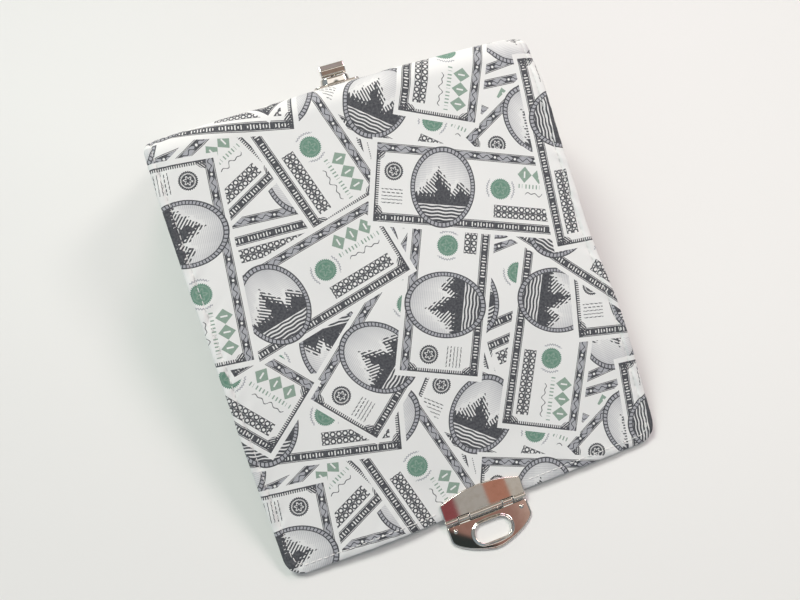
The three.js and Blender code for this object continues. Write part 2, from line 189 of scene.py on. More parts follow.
class CoverSizes(bpy.types.PropertyGroup):
    """Sizes of the fabric cover and its seam."""

    width: length("Width", "Width of the cover along its folds", 200)
    wall: length("Wall", "Thickness of the cover", 2.6)
    edge_wall: length("Edge wall", "Thickness of the cover close to its edge", 1.7)
    edge_band: length("Edge band", "Width of the thinner band along the edge", 3)
    roll: length("Edge roll", "Depth over which the edge is rolled round", 0.8)
    corner: length("Corner", "Radius of the cover's corners", 10)
    flap: length("Flap", "Length of the flap", 74)
    spine: length("Spine", "Length of the soft spine", 42)
    back: length("Back", "Length of the back panel", 96)
    fold_radius: length("Fold radius", "Radius of the bottom fold", 11)
    flap_slope: angle("Flap slope", "Slope of the flap", 24.5)
    spine_turn: angle("Spine turn", "Turn of the cover over the spine", -4)
    front_slope: angle("Front slope", "Slope of the front panel", -53.5)
    flap_start: length("Flap start", "Distance of the flap's end from the pin", 1.9)
    flap_offset: length("Flap offset", "Height of the flap's middle line over the pin", -1.0)
    lock_shift: length("Lock shift", "Distance of the lock from the cover's middle", 1)
    catch_station: length("Catch", "Distance of the catch below the bottom fold", 10.3)
    seam: length("Seam inset", "Distance of the seam from the edge", 4.4)
    seam_depth: length("Seam depth", "Depth of the groove that the thread pulls", 0.42)
    seam_width: length("Seam width", "Half width of that groove", 0.9)
    hem_rise: length("Hem rise", "How far the turned-in edge swells the cloth", 0.18)
    flat_end: length("Flat end", "How far up the flap the seam stays flat", 30)
    bow: length("Bow", "How far the flap's edge bows up between the lock and the left corner", 1.7)
    bow_place: length("Bow place", "Where that bow is highest, from the cover's middle", -47)
    bow_half: length("Bow half", "Half the width of that bow", 48)
    droop: length("Droop", "How far the flap's corners sink towards the table", 0.8)
    bow_reach: length("Bow reach", "How far bow and droop run up the flap", 60)
    left_drop: length("Left drop", "How far the bottom fold is rounded down at its left end", 3.5)
    right_drop: length("Right drop", "How far the bottom fold is rounded down at its right end", 6.5)
    drop_width: length("Drop width", "How far from the sides that rounding begins", 17)
    drop_reach: length("Drop reach", "How far that rounding runs to either side of the fold", 28)
    stitch_pitch: length("Stitch pitch", "Distance from stitch to stitch", 3.3)
    stitch: length("Stitch", "Length of a stitch", 2.7)
    thread: length("Thread", "Radius of the thread", 0.23)


class LockSizes(bpy.types.PropertyGroup):
    """Sizes of the hinged lock and the catch."""

    end_knuckle: length("End knuckle", "Length of the clamp's outer knuckles", 6.7)
    hasp_knuckle: length("Hasp knuckle", "Length of the hasp's knuckles", 5.6)
    middle_knuckle: length("Middle knuckle", "Length of the clamp's middle knuckle", 17.5)
    fit: length("Fit", "Gap between neighbouring pieces", 0.3)
    barrel: length("Barrel", "Radius of the knuckles", 1.6)
    bore: length("Bore", "Radius of the knuckles' bore", 1.0)
    leaf_wall: length("Leaf wall", "Thickness of the clamp's front leaf", 1.0)
    leaf_end: length("Leaf end", "Height of the front leaf at its ends", 8)
    leaf_middle: length("Leaf middle", "Height of the front leaf at its middle", 11.8)
    back_leaf_wall: length("Back leaf wall", "Thickness of the clamp's back leaf", 0.8)
    back_leaf_reach: length("Back leaf reach", "How far the back leaf reaches up the flap", 10)
    web: length("Web", "Thickness of the clamp's web at its knuckles", 0.7)
    hasp_wall: length("Hasp wall", "Thickness of the hasp", 1.4)
    hasp_gap: length("Hasp gap", "Distance of the hasp's plate from the pin", 2.2)
    hasp_side: length("Hasp side", "How far the hasp's sides run straight", 8.7)
    hasp_shoulder: length("Hasp shoulder", "Depth of the bend of the hasp's sides", 12.2)
    hasp_taper: length("Hasp taper", "Depth of the bend beside the tip", 17.8)
    hasp_depth: length("Hasp depth", "Depth of the hasp's tip", 19.5)
    slot_length: length("Slot length", "Length of the hasp's slot", 19)
    slot_height: length("Slot height", "Height of the hasp's slot", 9.5)
    slot_depth: length("Slot depth", "Distance of the slot's middle from the pin", 10.4)
    stud: length("Stud", "Radius of the dome studs", 1.1)
    stud_offset: length("Stud offset", "Distance of the studs from the middle", 17.8)
    stud_depth: length("Stud depth", "Distance of the studs from the pin", 5.1)
    base_length: length("Base length", "Length of the catch's base plate", 24)
    base_height: length("Base height", "Height of the catch's base plate", 13)
    base_corner: length("Base corner", "Corner radius of the base plate", 3)
    base_top: length("Base top", "Face of the base plate over the cloth", 1.5)
    boss_length: length("Boss length", "Length of the catch's boss", 15)
    boss_height: length("Boss height", "Height of the catch's boss", 7)
    boss_top: length("Boss top", "Top of the boss over the cloth", 4.9)
    stem: length("Stem", "Radius of the knob's stem", 1.6)
    stem_head: length("Stem head", "Radius of the stem's riveted head", 2.6)
    stem_head_wall: length("Stem head wall", "Thickness of the riveted head", 0.7)
    knob_length: length("Knob length", "Length of the knob", 13.2)
    knob_width: length("Knob width", "Width of the knob", 6.5)
    knob_top: length("Knob top", "Width of the knob's flat top", 3)
    knob_foot: length("Knob foot", "Size of the knob's lower bevel", 0.8)
    knob_low: length("Knob low", "Underside of the knob over the cloth", 5.3)
    knob_side: length("Knob side", "Height of the knob's upright sides", 2.7)
    knob_roof: length("Knob roof", "Height of the knob's upper bevels", 2.5)
    prong_length: length("Prong length", "Width of the base plate's prongs", 3)
    prong_wall: length("Prong wall", "Thickness of the prongs", 0.8)
    prong_offset: length("Prong offset", "Distance of the prongs from the middle", 8.5)
    prong_low: length("Prong low", "End of the prongs under the cloth", -4.2)


class WalletColours(bpy.types.PropertyGroup):
    """Linear colours of the wallet and its table."""

    paper: colour("Paper", "White ground of the print", (0.862, 0.852, 0.835))
    charcoal: colour("Charcoal", "Dark ink of the print", (0.060, 0.062, 0.072))
    grey: colour("Grey", "Middle tone of the print", (0.42, 0.42, 0.45))
    sage: colour("Sage", "Pale green ink", (0.27, 0.37, 0.30))
    seal: colour("Seal", "Deep green ink of the seals", (0.13, 0.27, 0.20))
    lining: colour("Lining", "Plain inner face", (0.62, 0.61, 0.59))
    thread: colour("Thread", "Sewing thread", (0.82, 0.81, 0.79))
    nickel: colour("Nickel", "Polished nickel plate", (0.74, 0.70, 0.65))
    table: colour("Table", "Pale table", (0.77, 0.76, 0.746))


# Shapes


def smooth(share):
    """Smooth step: three times the square less twice the cube of the share, clipped to 0 and 1."""
    share = np.clip(share, 0, 1)
    return share * share * (3 - 2 * share)


def fold_angle(sizes):
    """Turn of the cover over the bottom fold."""
    return sizes.front_slope - sizes.flap_slope - sizes.spine_turn


def fold_end(sizes):
    """Station at which the front panel starts."""
    return sizes.flap + sizes.spine + sizes.back + sizes.fold_radius * abs(fold_angle(sizes))


def fold_line(sizes, stations):
    """Places (y, z) and headings of the cover's middle line: straight runs joined by arcs.

    Each run starts where the last one ends. A chord of an arc is its length times the sinc of half its turn.
    """
    turn = fold_angle(sizes)
    endless = 1.0
    runs = ((sizes.flap, 0.0), (sizes.spine, sizes.spine_turn), (sizes.back, 0.0),
            (sizes.fold_radius * abs(turn), turn), (endless, 0.0))
    heading = sizes.flap_slope
    y0 = PIN[1] + sizes.flap_start * math.cos(heading) - sizes.flap_offset * math.sin(heading)
    z0 = PIN[2] + sizes.flap_start * math.sin(heading) + sizes.flap_offset * math.cos(heading)
    y = np.zeros_like(stations)
    z = np.zeros_like(stations)
    headings = np.zeros_like(stations)
    begin = 0.0
    for run, bend in runs:
        along = np.clip(stations - begin, 0, run)
        half = bend * along / run / 2
        chord = along * np.sinc(half / math.pi)
        reached = stations >= begin
        y = np.where(reached, y0 + chord * np.cos(heading + half), y)
        z = np.where(reached, z0 + chord * np.sin(heading + half), z)
        headings = np.where(reached, heading + 2 * half, headings)
        full = run * np.sinc(bend / TAU)
        y0 += full * math.cos(heading + bend / 2)
        z0 += full * math.sin(heading + bend / 2)
        heading += bend
        begin += run
    return y, z, headings


def cover_length(sizes):
    """Length of the cover: the front panel runs on until its middle line meets the table."""
    start = fold_end(sizes)
    height = fold_line(sizes, np.array([start]))[1][0]
    return start + height / math.sin(-sizes.front_slope)


def drift(column, stations):
    """A column of the drift table at the stations, eased from row to row."""
    row = np.clip(np.searchsorted(DRIFT[:, 0], stations, side="right"), 1, len(DRIFT) - 1)
    low = DRIFT[row - 1]
    high = DRIFT[row]
    share = smooth((stations - low[..., 0]) / (high[..., 0] - low[..., 0]))
    return low[..., column] + (high[..., column] - low[..., column]) * share


def half_width(sizes, x, stations):
    """Half width of the cover on the side of x, before its corners are rounded."""
    return sizes.width / 2 + np.where(x < 0, drift(1, stations), drift(2, stations))


def edge_distance(sizes, x, stations):
    """Distance from the cover's edge on the flat cloth, which is a rectangle with rounded corners."""
    total = cover_length(sizes)
    half = half_width(sizes, x, stations)
    past_side = np.abs(x) - (half - sizes.corner)
    past_end = np.maximum(sizes.corner - stations, stations - (total - sizes.corner))
    straight = np.minimum(half - np.abs(x), np.minimum(stations, total - stations))
    rounded_off = sizes.corner - np.hypot(np.maximum(past_side, 0), np.maximum(past_end, 0))
    return np.where((past_side > 0) & (past_end > 0), rounded_off, straight)


def calm(sizes, x, stations):
    """How freely the cloth may wave: 0 where the lock or the catch holds it, 1 away from them."""
    catch = fold_end(sizes) + sizes.catch_station
    from_lock = np.maximum(np.abs(x - sizes.lock_shift) - LOCK_HOLDS[0], stations - LOCK_HOLDS[1])
    from_catch = np.maximum(np.abs(x) - CATCH_HOLDS[0], np.abs(stations - catch) - CATCH_HOLDS[1])
    return smooth(from_lock / HELD_EASE) * smooth(from_catch / HELD_EASE)


def ripples(sizes, x, stations, edge):
    """Height of the cloth's waves: products of two sines, and puckers that fade away from the seam."""
    across = x[..., None] / (WAVES[:, 1] * MM) * TAU + WAVES[:, 3]
    along = stations[..., None] / (WAVES[:, 2] * MM) * TAU + WAVES[:, 4]
    slow = (WAVES[:, 0] * MM * np.sin(across) * np.sin(along)).sum(-1)
    run = (stations + np.abs(x))[..., None] / (PUCKERS[:, 1] * MM) * TAU + PUCKERS[:, 2]
    fade = 1.6 * sizes.seam
    near_seam = np.exp(-((edge - sizes.seam) / fade) ** 2)
    return slow + near_seam * (PUCKERS[:, 0] * MM * np.sin(run)).sum(-1)


def fold_drop(sizes, x, stations, half):
    """How far the bottom fold sinks near its ends: a quarter of an ellipse towards the side, eased along."""
    middle = fold_end(sizes) - sizes.fold_radius * abs(fold_angle(sizes)) / 2
    beside = smooth(1 - np.abs(stations - middle) / sizes.drop_reach)
    inward = np.clip(1 - (half - np.abs(x)) / sizes.drop_width, 0, 1)
    depth = np.where(x < 0, sizes.left_drop, sizes.right_drop)
    return beside * depth * (1 - np.sqrt(1 - inward ** 2))


def cover_point(sizes, x, stations, side):
    """Points of the cover's outer face (side 1) or inner face (side -1).

    The middle line is moved outward by the crown, the waves and the flap's bow and droop, inward where the
    bottom fold sinks at its ends, and to the side asked for by half the wall, which is rolled round at the
    edge. The outer face also swells over the hem and dips along the seam, and both fade at the flap's end.
    """
    y, z, heading = fold_line(sizes, stations)
    edge = edge_distance(sizes, x, stations)
    half = half_width(sizes, x, stations)
    free = calm(sizes, x, stations)
    lift = drift(3, stations) * (1 - (x / half) ** 2) + free * ripples(sizes, x, stations, edge)
    bow = sizes.bow * smooth(1 - np.abs(x - sizes.bow_place) / sizes.bow_half) - sizes.droop * (x / half) ** 4
    lift = lift + free * bow * (1 - smooth(stations / sizes.bow_reach))
    lift = lift - fold_drop(sizes, x, stations, half)
    wall = sizes.edge_wall + (sizes.wall - sizes.edge_wall) * smooth(edge / sizes.edge_band)
    rolled = np.sqrt(np.clip(1 - np.clip(1 - edge / sizes.roll, 0, 1) ** 2, 0, 1))
    relief = np.zeros_like(edge)
    if side > 0:
        hem = sizes.hem_rise * smooth(edge / sizes.roll) * smooth((sizes.seam - edge) / sizes.seam_width)
        groove = sizes.seam_depth * np.exp(-((edge - sizes.seam) / sizes.seam_width) ** 2)
        relief = (free * hem - groove) * smooth(stations / sizes.flat_end)
    depth = lift + side * rolled * (wall / 2 + relief)
    points = np.stack([
        PIN[0] - sizes.lock_shift + x,
        y - depth * np.sin(heading),
        np.maximum(z + depth * np.cos(heading), 0.0),
    ], axis=-1)
    return points


def border_of(shape):
    """Which points of a grid lie on its border."""
    border = np.ones(shape, bool)
    border[1:-1, 1:-1] = False
    return border


def skin(outer, inner):
    """Points and faces of a closed sheet from an outer and an inner grid that meet along their border."""
    rows, columns = outer.shape[:2]
    top = np.arange(rows * columns).reshape(rows, columns)
    border = border_of((rows, columns))
    inside = np.cumsum(~border).reshape(rows, columns) - 1 + rows * columns
    low = np.where(border, top, inside)

    def quads(index):
        """Four neighbours of a grid, in order round each square."""
        corners = [index[:-1, :-1], index[:-1, 1:], index[1:, 1:], index[1:, :-1]]
        return np.stack(corners, axis=-1).reshape(-1, 4)

    points = np.concatenate([outer.reshape(-1, 3), inner[~border]])
    return points, [quads(top), quads(low)[:, ::-1]]


def loft(rings, closed=False):
    """Points and faces over rings of equal size, each joined to the next one.

    Rings run anticlockwise about the way they advance. A closed loft joins its last ring to its first,
    and any other one has a flat face over each end. Faces are arrays, one for each number of corners.
    """
    count, size = rings.shape[:2]
    index = np.arange(count * size).reshape(count, size)
    current = index if closed else index[:-1]
    following = np.roll(index, -1, axis=0) if closed else index[1:]
    corners = [current, np.roll(current, -1, axis=1), np.roll(following, -1, axis=1), following]
    faces = [np.stack(corners, axis=-1).reshape(-1, 4)]
    if not closed:
        faces.append(np.stack([index[0][::-1], index[-1]]))
    return rings.reshape(-1, 3), faces


def joined(parts):
    """Several sets of points and faces as one, with each set's faces counted on from the points before it."""
    points = []
    faces = []
    count = 0
    for part_points, part_faces in parts:
        points.append(part_points)
        faces += [rows + count for rows in part_faces]
        count += len(part_points)
    return np.concatenate(points), faces


def rounded(corners, radius, steps=6):
    """A polygon with each corner replaced by a parabola that leaves both sides a radius away from it."""
    corners = np.asarray(corners, float)
    back = np.roll(corners, 1, axis=0) - corners
    on = np.roll(corners, -1, axis=0) - corners
    first = (corners + radius * back / np.linalg.norm(back, axis=1, keepdims=True))[:, None]
    last = (corners + radius * on / np.linalg.norm(on, axis=1, keepdims=True))[:, None]
    share = np.linspace(0, 1, steps)[None, :, None]
    bend = (1 - share) ** 2 * first + 2 * share * (1 - share) * corners[:, None] + share ** 2 * last
    return bend.reshape(-1, 2)


def even(outline, count):
    """A closed outline with its points spread evenly along it."""
    loop = np.vstack([outline, outline[:1]])
    reach = np.concatenate([[0], np.cumsum(np.hypot(*np.diff(loop, axis=0).T))])
    spots = np.linspace(0, reach[-1], count, endpoint=False)
    return np.stack([np.interp(spots, reach, loop[:, 0]), np.interp(spots, reach, loop[:, 1])], axis=-1)


def reach_of(outline, bearings, samples=4000):
    """Distance of a closed outline from the origin at each bearing."""
    points = even(outline, samples)
    bearing = np.arctan2(points[:, 1], points[:, 0])
    return np.interp(bearings, bearing, np.hypot(points[:, 0], points[:, 1]), period=TAU)


def oval(span, height, steps=24):
    """Outline of a slot with round ends, anticlockwise."""
    radius = height / 2
    turn = np.linspace(-math.pi / 2, math.pi / 2, steps)
    right = np.stack([span / 2 - radius + radius * np.cos(turn), radius * np.sin(turn)], axis=-1)
    return np.concatenate([right, -right])


def ring_stack(bearings, rings):
    """Rings about the Z axis from pairs of a reach at each bearing and a height."""
    reach = np.stack([np.broadcast_to(ring[0], bearings.shape) for ring in rings])
    height = np.array([ring[1] for ring in rings])[:, None] + np.zeros_like(reach)
    return np.stack([reach * np.cos(bearings), reach * np.sin(bearings), height], axis=-1)


def bearing_ring(count):
    """Bearings of a full turn, evenly spread."""
    return np.linspace(-math.pi, math.pi, count, endpoint=False)


def stepped(reach, height, rows):
    """Pairs of a reach and a height, from rows of millimetres out from one reach and up from one height."""
    return [(reach + outward * MM, height + upward * MM) for outward, upward in rows]


def both_ends(start, end, rows):
    """Pairs of a place and a value at both ends of a bar, from rows of a distance from an end and a value."""
    near = [(start + inset, value) for inset, value in rows]
    far = [(end - inset, value) for inset, value in rows[::-1]]
    return near + far


def rimmed(start, end, radius, edge, rim=RIM):
    """Rings of a round bar with a rounded rim at each end, as pairs of a reach and a place along it."""
    rows = both_ends(start, end, [(along * edge, radius - inward * edge) for along, inward in rim])
    return [(reach, place) for place, reach in rows]


def along_x(section, cuts):
    """Rings along X: a section in Y and Z about its middle, at each cut an x and a share of its size."""
    cuts = np.asarray(cuts, float)
    middle = (section.max(axis=0) + section.min(axis=0)) / 2
    flat = middle + (section - middle) * cuts[:, 1][:, None, None]
    x = np.broadcast_to(cuts[:, 0][:, None], flat.shape[:2])
    return np.concatenate([x[..., None], flat], axis=-1)


def block(x0, x1, y0, y1, z0, z1, edge):
    """A bar along X with rounded edges: its section shrinks by the edge's size at both ends."""
    section = rounded([(y0, z0), (y1, z0), (y1, z1), (y0, z1)], edge, steps=3)
    small = 1 - 2 * edge / min(y1 - y0, z1 - z0)
    past = 1.5 * edge
    rows = [(0, small), (edge / 3, (1 + small) / 2), (edge, 1), (past, 1)]
    return loft(along_x(section, both_ends(x0, x1, rows)))


def knuckle(sizes, x0, x1, seam):
    """A rolled barrel on the X axis: a tube with rounded rims and the line where its sheet closes.

    The outer radius dips as a narrow bell about the seam's bearing.
    """
    dip, spread, edge = 0.16 * MM, 0.11, 0.2 * MM
    bearings = bearing_ring(count=64)
    off = np.angle(np.exp(1j * (bearings - seam)))
    outer = sizes.barrel - dip * np.exp(-(off / spread) ** 2)
    rings = rimmed(x0, x1, outer, edge) + [(sizes.bore, x1), (sizes.bore, x0)]
    # Rings about Z become rings about X by a turn of the axes.
    return loft(np.roll(ring_stack(bearings, rings), 1, axis=-1), closed=True)


def rod(radius, z0, z1, edge):
    """A round rod along Z with rounded rims."""
    return loft(ring_stack(bearing_ring(count=40), rimmed(z0, z1, radius, edge, RIM[:-1])))


def dome(radius, steps=9):
    """A half ball, a little flat at its top, with a short upright skirt."""
    flat_top = 0.48 * math.pi
    rings = [(radius, -radius / 2)]
    rings += [(radius * math.cos(turn), radius * math.sin(turn)) for turn in np.linspace(0, flat_top, steps)]
    return loft(ring_stack(bearing_ring(count=32), rings))


def moved(part, offset):
    """Points and faces with the points moved."""
    points, faces = part
    return points + np.array(offset), faces


def set_in(part, origin, slope):
    """Points turned about X by a slope and moved to an origin, with their faces."""
    points, faces = part
    cos, sin = math.cos(slope), math.sin(slope)
    turn = np.array([(1, 0, 0), (0, cos, sin), (0, -sin, cos)])
    return points @ turn + origin, faces


def piece(name, part, finishes, body, stands_for=(), sharp=None):
    """A new object from points and faces, riding on a body of the frame."""
    points, faces = part
    mesh = bpy.data.meshes.new(name)
    mesh.from_pydata(points.tolist(), [], [face for rows in faces for face in rows.tolist()])
    mesh.update()
    mesh.shade_smooth()
    if sharp is not None:
        mesh.set_sharp_from_angle(angle=sharp)
    for finish in finishes:
        mesh.materials.append(finish)
    made = bpy.data.objects.new(name, mesh)
    bpy.context.scene.collection.objects.link(made)
    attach(made, body)
    if stands_for:
        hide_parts(*stands_for)
    return made


# Finishes

# Sockets of the Mix node by number, because their names repeat.
FACTOR, FIRST_VECTOR, SECOND_VECTOR, FIRST_COLOUR, SECOND_COLOUR = 0, 4, 5, 6, 7
MIXED_VECTOR, MIXED_COLOUR = 1, 2


def operation(kind):
    """A method of a wire that works out a Math node of a kind on the wire and on any other value."""
    def method(self, *others):
        return self.math(kind, self, *others)
    return method


class Wire:
    """A shader socket in Python arithmetic: each operation adds the Math node that works it out."""

    def __init__(self, tree, socket=None):
        self.tree = tree
        self.socket = socket

    def node(self, kind, settings=None, inputs=None, output=0):
        """A new node with its settings and its inputs' values or links, as a wire from one output."""
        made = self.tree.nodes.new(kind)
        for name, value in (settings or {}).items():
            setattr(made, name, value)
        for key, value in (inputs or {}).items():
            if isinstance(value, Wire):
                self.tree.links.new(value.socket, made.inputs[key])
            else:
                made.inputs[key].default_value = value
        return Wire(self.tree, made.outputs[output])

    def math(self, kind, *values):
        """A Math node of a kind on values."""
        return self.node("ShaderNodeMath", {"operation": kind}, dict(enumerate(values)))

    def vector(self, kind, *values, output=0):
        """A Vector Math node of a kind on vectors."""
        return self.node("ShaderNodeVectorMath", {"operation": kind}, dict(enumerate(values)), output)

    def part(self, index):
        """One component of a vector."""
        return self.node("ShaderNodeSeparateXYZ", None, {0: self}, index)

    def mixed(self, first, second):
        """A colour between two, with this wire as the share of the second."""
        sockets = {FACTOR: self, FIRST_COLOUR: first, SECOND_COLOUR: second}
        return self.node("ShaderNodeMix", {"data_type": "RGBA"}, sockets, MIXED_COLOUR)

    def __rsub__(self, other):
        return self.math("SUBTRACT", other, self)

    __add__ = operation("ADD")
    __sub__ = operation("SUBTRACT")
    __mul__ = operation("MULTIPLY")
    __truediv__ = operation("DIVIDE")
    __mod__ = operation("FLOORED_MODULO")
    __lt__ = operation("LESS_THAN")
    __gt__ = operation("GREATER_THAN")
    __or__ = operation("MAXIMUM")
    __abs__ = operation("ABSOLUTE")
    sine = operation("SINE")
    root = operation("SQRT")
    bearing = operation("ARCTAN2")

    def wave(self, number):
        """Sine wave of so many radians for each unit of the value."""
        return (self * number).sine()

    def sway(self, number, height):
        """Sine wave of that height and so many radians for each unit of the value."""
        return self.wave(number) * height

    def dashes(self, pitch, dash):
        """1 over the first part of each repeat of a pitch, as long as a dash, and 0 over the rest."""
        return (self % pitch) < dash

    def near(self, value, half):
        """1 closer to a value than half a width, 0 elsewhere."""
        return abs(self - value) < half

    def within(self, low, high):
        """1 between two limits, 0 outside them."""
        return (self > low) * (self < high)

    def cell(self, size):
        """Distance from the middle of the repeat of that size in which the value lies."""
        return self % size - size / 2

    def ramp(self, low, high):
        """Smooth step from 0 at a low value to 1 at a high one."""
        limits = dict(enumerate((self, low, high)))
        return self.node("ShaderNodeMapRange", {"interpolation_type": "SMOOTHSTEP"}, limits)

    def noise(self, scale, detail=2.0):
        """Noise over this vector, as a value about one half."""
        return self.node("ShaderNodeTexNoise", None, {"Vector": self, "Scale": scale, "Detail": detail})


def material(name, values):
    """A new material with its shader's fixed values, that shader, and a first wire of its nodes."""
    made = bpy.data.materials.new(name)
    made.use_nodes = True
    tree = made.node_tree
    shader = tree.nodes["Principled BSDF"]
    for key, value in values.items():
        shader.inputs[key].default_value = value
    return made, shader, Wire(tree)


def connect(shader, links):
    """Wires led to a shader's sockets."""
    for key, wire in links.items():
        wire.tree.links.new(wire.socket, shader.inputs[key])


def topmost_slip(place):
    """Place on the slip that lies on top at a place of the cloth, in millimetres from that slip's middle."""
    half_repeat = (REPEAT[0] / 2, REPEAT[1] / 2, 1.0)
    found = None
    for x, y, turn in SLIPS:
        shifted = place.vector("SUBTRACT", place, (x, y, 0.0))
        wrapped = place.vector("WRAP", shifted, half_repeat, tuple(-value for value in half_repeat))
        spin = {"Vector": wrapped, "Angle": math.radians(turn)}
        turned = place.node("ShaderNodeVectorRotate", {"rotation_type": "Z_AXIS"}, spin)
        if found is None:
            found = turned
            continue
        share = place.vector("DIVIDE", place.vector("ABSOLUTE", turned), (*SLIP_HALF, 1.0))
        outside = place.vector("LENGTH", place.vector("FLOOR", share), output="Value")
        sockets = {FACTOR: outside < 0.5, FIRST_VECTOR: found, SECOND_VECTOR: turned}
        found = place.node("ShaderNodeMix", {"data_type": "VECTOR"}, sockets, MIXED_VECTOR)
    return found


# The print is drawn in millimetres from a slip's middle. In its figures a wave is radians for each unit, with
# a height where it needs one, dashes are a pitch and a length, a line is a place and half a width, and an
# area is left, right, low and high.


def inside(x, y, area):
    """1 inside an area, 0 outside it."""
    left, right, low, high = area
    return x.within(left, right) * y.within(low, high)


def slip_seal(x, y, centre, radius, teeth, ring, petals, petal_line):
    """A round seal: distance from its centre, mask of its disc, and mask of the ring and flower drawn on it.

    Teeth that stand out lessen the distance. The flower is a line whose distance sways with the bearing.
    """
    dx = x - centre[0]
    dy = y - centre[1]
    turn = dy.bearing(dx)
    reach = (dx * dx + dy * dy).root() - turn.sway(*teeth)
    flower = (reach - turn.sway(*petals)).near(*petal_line)
    return reach, reach < radius, reach.near(*ring) | flower


def slip_border(x, y):
    """Inks of a slip's border: the charcoal mask and the grey one.

    One long side is a row of grey ovals, the other a row of white ticks. Combs close the short sides, and a
    hatched quarter disc fills each corner. Ovals, knots and corners go by the squares of their half widths.
    """
    end, side = 49.4, 19.6
    band, band_half, rule_line = 17.4, 2.3, (1.85, 0.1)
    oval_pitch, oval_wide, oval_tall, knot_wide = 10.4, 17.6, 2.5, 0.4
    curl_wave, curl_half = (1.5, 0.7), 0.28
    tick_dashes, tick_groups = (1.5, 0.6), (13.5, 11.0)
    tick_wave, tick_tall = (2.7, 0.35), 0.85
    comb_start, comb_back, comb_dashes = 47.4, 48.7, (1.1, 0.6)
    corner_side, corner_wide, hatch_wave, hatch_gap = 15.4, 19.0, 4.2, -0.5
    ax = abs(x)
    ay = abs(y)
    from_band = ay - band
    in_band = (abs(from_band) < band_half) * (ax < end)
    oval_x = x.cell(oval_pitch)
    in_oval = (oval_x * oval_x / oval_wide + from_band * from_band / oval_tall) < 1.0
    curl = from_band.near(oval_x.sway(*curl_wave), curl_half)
    knot_x = (x + oval_pitch / 2).cell(oval_pitch)
    knot = (knot_x * knot_x + from_band * from_band) < knot_wide
    tall = x.sway(*tick_wave) + tick_tall
    tick = x.dashes(*tick_dashes) * x.dashes(*tick_groups) * (abs(from_band) < tall)
    rule = abs(from_band).near(*rule_line)
    upper = y > 0.0
    grey = in_band * upper * in_oval * (1 - curl)
    white = in_band * (upper * knot | (1 - upper) * tick | rule)
    teeth = y.dashes(*comb_dashes) | (ax > comb_back)
    comb = ax.within(comb_start, end) * (ay < side) * teeth
    corner_x = ax - end
    corner_y = ay - corner_side
    corner = (corner_x * corner_x + corner_y * corner_y) < corner_wide
    corner = corner * (ax < end) * (ay < side) * ((ax + ay).wave(hatch_wave) > hatch_gap)
    return (in_band * (1 - white) | comb | corner) * (1 - grey), grey


def slip_oval(x, y, colours):
    """Colour inside a slip's oval and the share of the way to its rim.

    An engraved landscape: two peaks whose heights fall evenly to both sides of their tops, dark on one slope
    and hatched on the other, pines along the shore, and a lake of wavy lines below.
    """
    half_wide, half_high = 16.4, 20.6
    ring_start, ring_half, rim_start, bead_wave, bead_gap = 0.87, 0.014, 0.965, 60.0, 0.55
    tall_x, tall_top, tall_fall = -3.5, 10.5, 1.25
    short_x, short_top, short_fall = 7.5, 4.5, 0.95
    coarse_jag, fine_jag, fall_wave = (2.1, 0.8), (4.3, 0.45), (1.2, 0.8)
    hatch_lean, hatch_wave, hatch_gap = 0.8, 3.4, -0.1
    snow_depth, snow_wave = 3.4, (3.7, 1.1)
    shore, pine_wave, pine_tall, pine_drop = -9.0, 1.55, 2.6, 5.6
    thicket_top, thicket_side = -5.2, 8.0
    lake_wave, lake_sway, lake_thinning, lake_gap = 3.6, (0.9, 0.7), 0.07, 0.7
    haze, sky_dashes, sky_tone, rim_tone = 0.02, (0.9, 0.4), 0.3, 0.35
    share = ((x / half_wide) * (x / half_wide) + (y / half_high) * (y / half_high)).root()
    jag = x.sway(*coarse_jag) + x.sway(*fine_jag)
    tall = tall_top - abs(x - tall_x) * tall_fall
    short = short_top - abs(x - short_x) * short_fall
    ridge = (tall | short) + jag
    in_front = short > tall
    fall_line = y.sway(*fall_wave)
    lee = (1 - in_front) * ((x - tall_x + fall_line) > 0.0) | in_front * ((x - short_x + fall_line) > 0.0)
    hatch = (x * hatch_lean + y).wave(hatch_wave) > hatch_gap
    snow = y > (ridge - snow_depth + x.sway(*snow_wave))
    slope = (y < ridge) * (lee | hatch) * (1 - snow * (1 - lee * hatch))
    pines = (y < (abs(x.wave(pine_wave)) * pine_tall - pine_drop)) * (y > shore)
    thicket = y.within(shore, thicket_top) * (abs(x) > thicket_side)
    ripple = (y * lake_wave + x.sway(*lake_sway)).sine()
    lake = (y < shore) * (ripple > (y * lake_thinning + lake_gap))
    drawn = slope * (y > shore) | (pines | thicket) | lake
    sky = ((y - ridge) * haze + y.dashes(*sky_dashes) * sky_tone) * (y > ridge)
    ground = (sky + share * share * rim_tone).mixed(colours.paper, colours.grey)
    ring = share > ring_start
    rim = (share > rim_start) | share.near(ring_start, ring_half)
    beads = ring * (y.bearing(x).wave(bead_wave) > bead_gap)
    ground = ring.mixed(ground, colours.grey)
    return (drawn * (1 - ring) | rim | beads).mixed(ground, colours.charcoal), share


